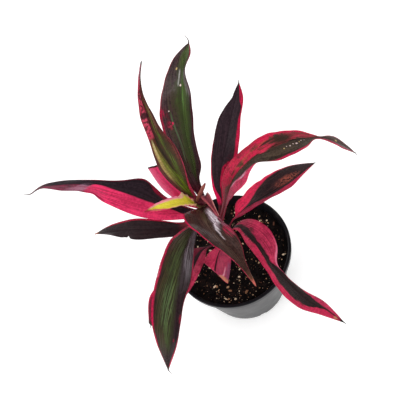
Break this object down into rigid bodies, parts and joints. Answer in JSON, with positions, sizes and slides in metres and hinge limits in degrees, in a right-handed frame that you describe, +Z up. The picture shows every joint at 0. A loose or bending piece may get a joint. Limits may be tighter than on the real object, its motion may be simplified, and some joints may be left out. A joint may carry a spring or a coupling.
{
  "type": "potted red beryl cordyline",
  "caption": "Young cordyline with arching, pink-edged dark leaves on a single cane, growing in a round tapered black nursery pot.",
  "frame": {"origin": "centre of the pot's flat base, on the surface it stands on", "axes": "+Z up along the pot's axis; +Y away from the side that the picture was taken from; +X to the right seen from there"},
  "size_m": [0.2639, 0.2022, 0.2774],
  "materials": {
    "pot_black": "satin moulded black plastic, lit grey on its side",
    "potting_soil": "dark crumbly peat with pale grains",
    "cane_skin": "red-brown cane with ring scars",
    "leaf_dark": "satin, near-black maroon with a thin pink edge",
    "leaf_pink": "satin, vivid pink with a dark centre band",
    "leaf_green": "satin, olive green streaks with maroon edges",
    "leaf_lime": "satin, yellow-green with pink edges"
  },
  "bodies": {
    "root": {"pot": "pot_black", "soil": "potting_soil", "cane": "cane_skin", "leaf_spear": "leaf_dark", "leaf_back_tall": "leaf_green", "leaf_back_green": "leaf_green", "leaf_back_cut": "leaf_pink", "leaf_left_long": "leaf_pink", "leaf_left_short": "leaf_dark", "leaf_front_left": "leaf_dark", "leaf_under_left": "leaf_pink", "leaf_front_cut": "leaf_pink", "leaf_front_glossy": "leaf_dark", "leaf_young_lime": "leaf_lime", "leaf_young_rolled": "leaf_dark", "leaf_right_dark": "leaf_dark", "leaf_right_long": "leaf_pink", "leaf_right_small": "leaf_pink", "leaf_right_low": "leaf_pink"}
  },
  "joints": []
}
